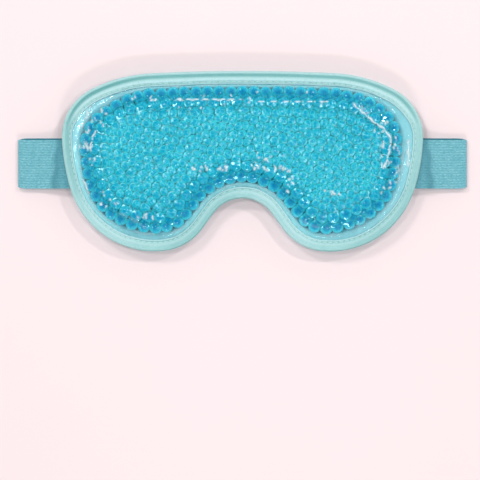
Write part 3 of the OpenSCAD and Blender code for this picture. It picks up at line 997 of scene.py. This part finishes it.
def build_binding():
    """The folded tape: one section swept round the outline, pulled in at every stitch."""
    run, spot, normal = outline_samples(BINDING_COLUMNS)
    front, back = front_width(normal), back_width(normal)
    sway, wander, ease = ripple(run, 1), ripple(run, 2), ripple(run, 4)
    brow = smooth01(normal[:, 1] * 1.4)
    rings, darks, pales = [], [], []
    for i in range(BINDING_COLUMNS):
        edge = front[i] + 0.16 * sway[i]
        outer, inner = binding_section(edge, back[i] + 0.12 * ease[i])
        section = np.concatenate([outer, inner])
        inset, height = section[:, 0].copy(), section[:, 1].copy()
        is_outer = np.arange(len(section)) < len(outer)
        facing = np.where(height > 0, 1.0, -1.0) * is_outer
        on_front = facing > 0
        beat = 0.5 + 0.5 * math.cos(TAU * run[i] / STITCH_PITCH)
        pulled = band(inset, edge - DITCH, 0.5) * on_front
        pulled += band(inset, back[i] - BACK_DITCH, 0.5) * (facing < 0)
        height -= facing * pulled * (0.12 + 0.16 * beat)
        height -= band(inset, 2.3, 0.5) * on_front * (0.1 + 0.25 * brow[i] + 0.1 * wander[i])
        height += facing * 0.07 * wander[i] * band(inset, 4.4, 1.0)
        inset -= is_outer * 0.05 * ease[i] * (inset < 0.6)
        rings.append(np.column_stack([spot[i] - inset[:, None] * normal[i], SEAM_Z + height]))
        # Painted shade and painted light, by which way the outline faces
        dark, pale = binding_tones(inset, edge, normal[i], on_front)
        darks.append(dark)
        pales.append(pale)
    rings = np.array(rings)
    faces = grid_faces(BINDING_COLUMNS, rings.shape[1], True, True)
    made = mesh_object("folded_binding", rings.reshape(-1, 3), faces, BINDING)
    paint(made, "dark", np.array(darks))
    paint(made, "pale", np.array(pales))
    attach(made, "mask")
    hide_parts("binding_tape")


def stitched(run, inset, height, face):
    """The path of one stitch along the outline, arched over the fabric and sunk at both ends. face is 1 for a
    stitch seen from above and -1 for one seen from below."""
    path = []
    for share in np.linspace(-1, 1, 7):
        spot, normal = outline_at(run + share * STITCH_PITCH * STITCH_SHARE / 2)
        rise = STITCH_RISE * (1 - abs(share) ** 3.0)
        path.append([*(spot - normal * inset), height + face * rise])
    return path


def build_binding_stitches():
    """The seam's stitches on both faces, except behind the straps' sewn ends."""
    count = round(LENGTH / STITCH_PITCH)
    fronts, backs = [], []
    for i in range(count):
        run = (i + 0.5) * LENGTH / count
        spot, normal = outline_at(run)
        front, back = front_width(normal[None])[0], back_width(normal[None])[0]
        fronts.append(stitched(run, front - DITCH, BIND_TOP - 0.32, 1))
        under_strap = abs(spot[0]) > HALF_W * 0.8 and abs(spot[1] - STRAP_Y) < STRAP_W / 2 + 2
        if not under_strap:
            backs.append(stitched(run, back - BACK_DITCH, BIND_LOW + 0.22, -1))
    for name, paths in (("binding_stitches_front", fronts), ("binding_stitches_back", backs)):
        made = thread_object(name.replace("stitches", "thread"), paths, THREAD_R, 8, THREAD)
        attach(made, "mask")
        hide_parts(name)


# ---- Straps ----
RIBS = 19
RIB_POINTS = 6
RIB_H = 0.14
FOLD_GAP = 0.9          # between the two plies of a folded strap
FOLD_R = ELASTIC_T / 2 + FOLD_GAP
RUN_START = 8.0         # from the fold to where the run rides on its own body
DRIFT = 1.1             # how far sideways the returning ply lies
ROOT_INSET = 5.0        # how far inside the mask's edge the strap's sewn end lies
FOLD_PINCH = 0.4        # how much narrower each half of the strap is at its fold
FOLD_STEP = 0.9         # between the stations of the fold's mesh, then of the run's mesh
RUN_STEP = 1.6


def strap_section():
    """Places across the strap from -1 to 1, with its half thickness and how deep between two ribs each is."""
    across = np.linspace(-1, 1, RIBS * RIB_POINTS + 1)
    rib = np.abs(np.sin(math.pi * (across + 1) / 2 * RIBS)) ** 0.75
    thick = ELASTIC_T / 2 - RIB_H + RIB_H * rib
    end = np.clip((1 - np.abs(across)) * STRAP_W / 2 / 0.45, 0, 1)
    thick = thick * np.sqrt(1 - (1 - end) ** 2)
    valley = 1 - rib
    return across[1:-1], thick[1:-1], valley[1:-1]


def tight_ends(values):
    """The same stations with one more just inside each end, so that the end face doesn't shade the strap."""
    first = 0.95 * values[:1] + 0.05 * values[1:2]
    last = 0.05 * values[-2:-1] + 0.95 * values[-1:]
    return np.concatenate([values[:1], first, values[1:-1], last, values[-1:]])


def sweep_strap(name, path, drift, width, progress, end=None):
    """A ribbed strap along [x, z] points. drift moves each station along Y and width is its own half width.
    progress is 0 on the upper ply and 1 on the ply that returns behind the mask. end is the line, as [x, y]
    points, that the first few millimetres are skewed to follow."""
    path, drift, width, progress = (tight_ends(np.asarray(v, float)) for v in (path, drift, width, progress))
    along = np.gradient(path, axis=0)
    along /= np.linalg.norm(along, axis=1)[:, None]
    up = np.column_stack([-along[:, 1], along[:, 0]])
    across, thick, valley = strap_section()
    sides = np.concatenate([across, across[::-1]])
    offs = np.concatenate([thick, -thick[::-1]])
    rings = np.empty((len(path), len(sides), 3))
    rings[:, :, 0] = path[:, 0, None] + up[:, 0, None] * offs
    rings[:, :, 2] = path[:, 1, None] + up[:, 1, None] * offs
    rings[:, :, 1] = STRAP_Y + drift[:, None] + width[:, None] * sides
    if end is not None:
        skew = np.interp(rings[:, :, 1], end[:, 1], end[:, 0]) - path[0, 0]
        rings[:, :, 0] += skew * smooth01(1 - np.abs(path[:, 0] - path[0, 0]) / 7)[:, None]
    columns = len(sides)
    faces = grid_faces(len(path), columns, wrap_columns=True).tolist()
    half = columns // 2
    for ring in (0, (len(path) - 1) * columns):
        faces += [[ring + j, ring + j + 1, ring + columns - 2 - j, ring + columns - 1 - j]
                  for j in range(half - 1)]
    made = mesh_object(name, rings.reshape(-1, 3), faces, ELASTIC)
    # Painted shade between the ribs
    paint(made, "valley", np.tile(np.concatenate([valley, valley[::-1]]) * 0.6, len(path)))
    # A painted shadow of the mask darkens the strap up to a slanting, uneven line, and out is how far beyond
    # it a point lies
    ys = rings[:, :, 1] - STRAP_Y
    out = np.abs(rings[:, :, 0]) - (HALF_W + 4.9 - 0.11 * ys) - 0.5 * np.sin(ys * 0.5)
    root = smooth01(0.5 - out / 3.2) * (0.6 + 0.4 * band(out, -1.5, 2.5)) * (progress[:, None] < 0.01)
    # Painted shade on the returning ply's top edge, under the fold
    painted_lower_ply_shade = smooth01((ys - STRAP_W / 2 + 0.9) / 0.5) * progress[:, None]
    paint(made, "root", np.maximum(root * 0.65, painted_lower_ply_shade))
    return made


def dense(knots, step):
    """Points about every step along a line through the knots."""
    return eased(knots, max(3, round(distances(knots)[-1] / step)), 4)


def root_end(side):
    """The strap's sewn end as [x, y] points, which follow the back binding's inner edge."""
    ring = EDGE_P - EDGE_N * ROOT_INSET
    near = (ring[:, 0] * side > HALF_W * 0.7) & (np.abs(ring[:, 1] - STRAP_Y) < STRAP_W)
    return ring[near][np.argsort(ring[near][:, 1])]


def fold_side(name, side):
    """How far out from the mask's middle the strap's fold starts."""
    return low(name + "_fold")[0] if side > 0 else -high(name + "_fold")[0]


def build_strap_fold(name, side):
    """One strap from the binding to behind its fold."""
    fold_x = fold_side(name, side)
    fold_z = high(name + "_fold")[2] / 2
    root_z = high(name + "_root")[2] - ELASTIC_T / 2
    upper = fold_z + FOLD_R
    drop = dense([(HALF_W - ROOT_INSET, root_z), (HALF_W + 0.6, root_z), (HALF_W + 7, upper + 0.7),
                  (HALF_W + 13, upper), (fold_x, upper)], FOLD_STEP)
    turn = np.linspace(0, math.pi, 17)[1:-1]
    bend = np.column_stack([fold_x + FOLD_R * np.sin(turn), fold_z + FOLD_R * np.cos(turn)])
    back = dense([(fold_x, fold_z - FOLD_R), (fold_x - RUN_START, fold_z - FOLD_R)], FOLD_STEP)
    path = np.concatenate([drop, bend, back])
    reach = distances(path)
    reach -= reach[len(drop) + len(bend) // 2]
    progress = np.concatenate([np.zeros(len(drop)), turn / math.pi, np.ones(len(back))])
    drift = DRIFT * (smooth01((reach + 6) / 12) - 0.5)
    width = STRAP_W / 2 - FOLD_PINCH * band(reach, 0, 2.0)
    made = sweep_strap(name + "_fold_elastic", path * [side, 1], drift, width, smooth01(progress),
                       root_end(side))
    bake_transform(made)
    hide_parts(name + "_root", name + "_fold")


def build_strap_run(name, side):
    """One strap's flat run behind the mask. The right one rises to lie on the left one."""
    start = side * (fold_side(name, side) - RUN_START)
    level = ELASTIC_T / 2
    if side < 0:
        knots = [(start, level), (high(name + "_run")[0], level)]
    else:
        top = high(name + "_run")[2] - level
        knots = [(start, level), (high("loop_tape")[0] + 4.5, top), (low(name + "_run")[0], top)]
    run = dense(knots, RUN_STEP)
    plain = np.ones(len(run))
    made = sweep_strap(name + "_run_elastic", run, DRIFT / 2 * plain, STRAP_W / 2 * plain, plain)
    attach(made, name)
    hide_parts(name + "_run")


def build_root_trim(name, side):
    """The thin pale lip where the strap's sewn end meets the plush."""
    under = high(name + "_root")[2] - ELASTIC_T
    end = root_end(side)
    inside = end[np.abs(end[:, 1] - STRAP_Y + DRIFT / 2) < STRAP_W / 2 + 0.3]
    line = np.column_stack([inside, np.full(len(inside), under + 0.25)])
    trim = thread_object(name + "_root_trim", [line], 0.5, 10, BINDING)
    paint(trim, "pale", np.full(len(trim.data.vertices), 0.8))
    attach(trim, "mask")


def build_root_stitches(name, side):
    """Two short rows of stitches that hold the strap to the back of the binding."""
    under = high(name + "_root")[2] - ELASTIC_T
    paths = []
    step = round(STITCH_PITCH / OUTLINE_STEP)
    for inset in (1.4, 3.6):
        for run, spot in zip(EDGE_RUN[::step], EDGE_P[::step]):
            on_strap = abs(spot[1] - STRAP_Y) < STRAP_W / 2 - 1.8 and spot[0] * side > HALF_W * 0.8
            if on_strap:
                paths.append(stitched(run, inset, under + 0.12, -1))
    made = thread_object(name + "_root_thread", paths, THREAD_R, 8, THREAD)
    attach(made, "mask")
    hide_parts(name.replace("_strap", "_root_stitches"))


# ---- Hook and loop tapes ----
TAPE_BACKING = 0.4      # the tapes' backing reaches this far from their outer faces
HOOK_R = 0.075
LOOP_R = 0.06


def tape_slab(name, x0, x1, z0, z1, half_width, corner, material):
    """A thin slab with its far corners rounded off, in stations 1 mm apart along X so that it can bend."""
    xs = np.linspace(x0, x1, max(4, round(x1 - x0)))
    into_corner = np.clip(corner - (x1 - xs), 0, None)
    pinch = corner - np.sqrt(np.clip(corner ** 2 - into_corner ** 2, 0, None))
    half = half_width - pinch
    ys = np.linspace(-1, 1, 15)
    soft = 0.12
    top = np.array([(y, z1 - soft * (abs(y) > 0.99)) for y in ys])
    bottom = np.array([(y, z0 + soft * (abs(y) > 0.99)) for y in ys[::-1]])
    ring = np.concatenate([top, bottom])
    rings = np.empty((len(xs), len(ring), 3))
    rings[:, :, 0] = xs[:, None]
    rings[:, :, 1] = STRAP_Y + DRIFT / 2 + half[:, None] * ring[None, :, 0]
    rings[:, :, 2] = ring[None, :, 1]
    faces = grid_faces(len(xs), len(ring), wrap_columns=True).tolist()
    faces += [list(range(len(ring)))[::-1], [(len(xs) - 1) * len(ring) + j for j in range(len(ring))]]
    return mesh_object(name, rings.reshape(-1, 3), faces, material)


def build_hook_tape():
    """The hook tape: a backing and rows of curled hooks that lean to and fro."""
    (tab_x, y0, base), (x1, y1, top) = low("hook_tape_tab"), high("hook_tape_tab")
    x0, sewn_x = low("hook_tape_sewn_end")[0], high("hook_tape_sewn_end")[0]
    half, peel = (y1 - y0) / 2, (sewn_x + tab_x) / 2
    backing = base + TAPE_BACKING
    slab = tape_slab("hook_tape_backing", x0, x1, base + 0.02, backing, half, 4.0, HOOKS)
    pitch_x, pitch_y, curl = 1.5, 1.3, 0.17
    turn = np.linspace(0, 1.25 * math.pi, 6)
    hooks = []
    pick = np.random.default_rng(3)
    for n, x in enumerate(np.arange(x0 + 1.2, x1 - 1.0, pitch_x)):
        lean = 1 if n % 2 else -1
        arch = [(x + lean * curl * (1 - math.cos(a)), top - 0.3 + curl * math.sin(a)) for a in turn]
        path = [(x, backing - 0.05), (x, top - 0.45)] + arch
        room = half - 1.0 - max(0, 4.0 - (x1 - x)) * 0.8
        for y in np.arange(-room, room, pitch_y):
            hooks.append([[px, STRAP_Y + DRIFT / 2 + y + pick.uniform(-0.1, 0.1), pz] for px, pz in path])
    tips = thread_object("hook_tape_hooks", hooks, HOOK_R, 4, HOOKS)
    for made in (slab, tips):
        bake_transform(made)
    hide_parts("hook_tape_sewn_end", "hook_tape_tab")


def build_loop_tape():
    """The loop tape: a backing and a pile of small loops below it."""
    (x0, y0, base), (x1, y1, top) = low("loop_tape"), high("loop_tape")
    half = (y1 - y0) / 2
    slab = tape_slab("loop_tape_backing", x0, x1, top - TAPE_BACKING, top - 0.02, half, 0.6, LOOPS)
    pick = np.random.default_rng(9)
    pitch_x, pitch_y = 1.25, 1.15
    loops = []
    for x in np.arange(x0 + 0.8, x1 - 0.8, pitch_x):
        for y in np.arange(-half + 0.7, half - 0.7, pitch_y):
            turn = pick.uniform(0, TAU)
            reach = pick.uniform(0.35, 0.6)
            drop = pick.uniform(0.3, top - base - 0.45)
            stray = [pick.uniform(-0.4, 0.4), pick.uniform(-0.4, 0.4)]
            middle = np.array([x, STRAP_Y + DRIFT / 2 + y]) + stray
            way = np.array([math.cos(turn), math.sin(turn)])
            path = [[*(middle + way * reach * math.cos(a)), top - 0.35 - drop * math.sin(a)]
                    for a in np.linspace(0, math.pi, 7)]
            loops.append(path)
    pile = thread_object("loop_tape_pile", loops, LOOP_R, 3, LOOPS)
    for made in (slab, pile):
        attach(made, "right_strap")
    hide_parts("loop_tape")


def box_of_stitches(name, node, body):
    """A rectangle of stitches round a sewn tape end, on its lower side."""
    (x0, y0, z), (x1, y1, _) = low(node), high(node)
    corners = [(x0, y0 + DRIFT / 2), (x1, y0 + DRIFT / 2), (x1, y1 + DRIFT / 2), (x0, y1 + DRIFT / 2)]
    paths = []
    for a, b in zip(corners, corners[1:] + corners[:1]):
        a, b = np.array(a), np.array(b)
        count = max(1, round(np.linalg.norm(b - a) / STITCH_PITCH))
        for i in range(count):
            shares = np.linspace((i + 0.08) / count, (i + 0.92) / count, 6)
            rise = STITCH_RISE * (1 - np.abs(np.linspace(-1, 1, 6)) ** 3)
            paths.append([[*(a + (b - a) * s), z - 0.15 + r] for s, r in zip(shares, rise)])
    made = thread_object(name, paths, THREAD_R, 8, THREAD)
    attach(made, body)
    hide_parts(node)


# ---- Floor, light and camera ----
def build_floor():
    """A plain pale floor under the folded strap."""
    size = 3000
    corners = [(-size, -size, 0), (size, -size, 0), (size, size, 0), (-size, size, 0)]
    floor = mesh_object("floor", corners, [[0, 1, 2, 3]], floor_look(), mend=False)


def area_light(name, spot, size, power):
    """A soft light of a size and a power in watts that shines on the middle of the mask."""
    lamp = bpy.data.lights.new(name, "AREA")
    lamp.shape, lamp.size, lamp.size_y = "RECTANGLE", size[0] * MM, size[1] * MM
    lamp.energy = power
    made = bpy.data.objects.new(name, lamp)
    made.location = Vector(spot) * MM
    made.rotation_euler = (Vector((0, 0, 10)) - Vector(spot)).to_track_quat("-Z", "Y").to_euler()
    bpy.context.scene.collection.objects.link(made)
    return made


def light_studio():
    """A studio that is bright all round and dark overhead, so that shiny tops stay clear, and five lights.
    The key light has no mirror image, which would cover the film's rim with glare."""
    world = bpy.data.worlds.new("studio")
    world.use_nodes = True
    nodes, links = world.node_tree.nodes, world.node_tree.links
    glow = nodes["Background"]
    glow.inputs["Color"].default_value = (1.0, 0.985, 0.985, 1)
    way = nodes.new("ShaderNodeSeparateXYZ")
    links.new(nodes.new("ShaderNodeTexCoord").outputs["Generated"], way.inputs[0])
    height = nodes.new("ShaderNodeMapRange")
    for name, value in {"From Min": 0.4, "From Max": 0.93, "To Min": 0.8, "To Max": 0.06}.items():
        height.inputs[name].default_value = value
    links.new(way.outputs["Z"], height.inputs["Value"])
    links.new(height.outputs[0], glow.inputs["Strength"])
    bpy.context.scene.world = world
    key = area_light("key", (-420, 520, 900), (180, 180), 2.6)
    key.visible_glossy = False
    area_light("spark", (420, 420, 800), (60, 60), 1.6)
    area_light("low", (100, -700, 700), (300, 90), 1.6)
    area_light("top_left", (-270, 150, 1150), (110, 110), 2.1)
    area_light("top_right", (290, -60, 1150), (110, 110), 1.7)


def place_camera():
    """Straight down on the mask, with the mask in the upper half of the frame."""
    lens, sensor, wide = 150.0, 36.0, 265.2
    middle = (-1.4, -43.6)
    data = bpy.data.cameras.new("camera")
    data.lens, data.sensor_width = lens, sensor
    camera = bpy.data.objects.new("camera", data)
    camera.location = Vector((*middle, 11 + wide * lens / sensor)) * MM
    data.clip_start, data.clip_end = 0.01, 20
    bpy.context.scene.collection.objects.link(camera)
    bpy.context.scene.camera = camera


spots, radii = build_beads()
build_front_film(spots, radii)
build_back_film()
build_plush()
build_binding()
build_binding_stitches()
for strap_name, strap_side in (("left_strap", -1), ("right_strap", 1)):
    build_strap_fold(strap_name, strap_side)
    build_strap_run(strap_name, strap_side)
    build_root_trim(strap_name, strap_side)
    build_root_stitches(strap_name, strap_side)
build_hook_tape()
build_loop_tape()
box_of_stitches("hook_tape_thread", "hook_tape_stitches", "left_strap")
box_of_stitches("loop_tape_thread", "loop_tape_stitches", "right_strap")
build_floor()
light_studio()
place_camera()
bpy.context.scene.view_settings.view_transform = "Standard"
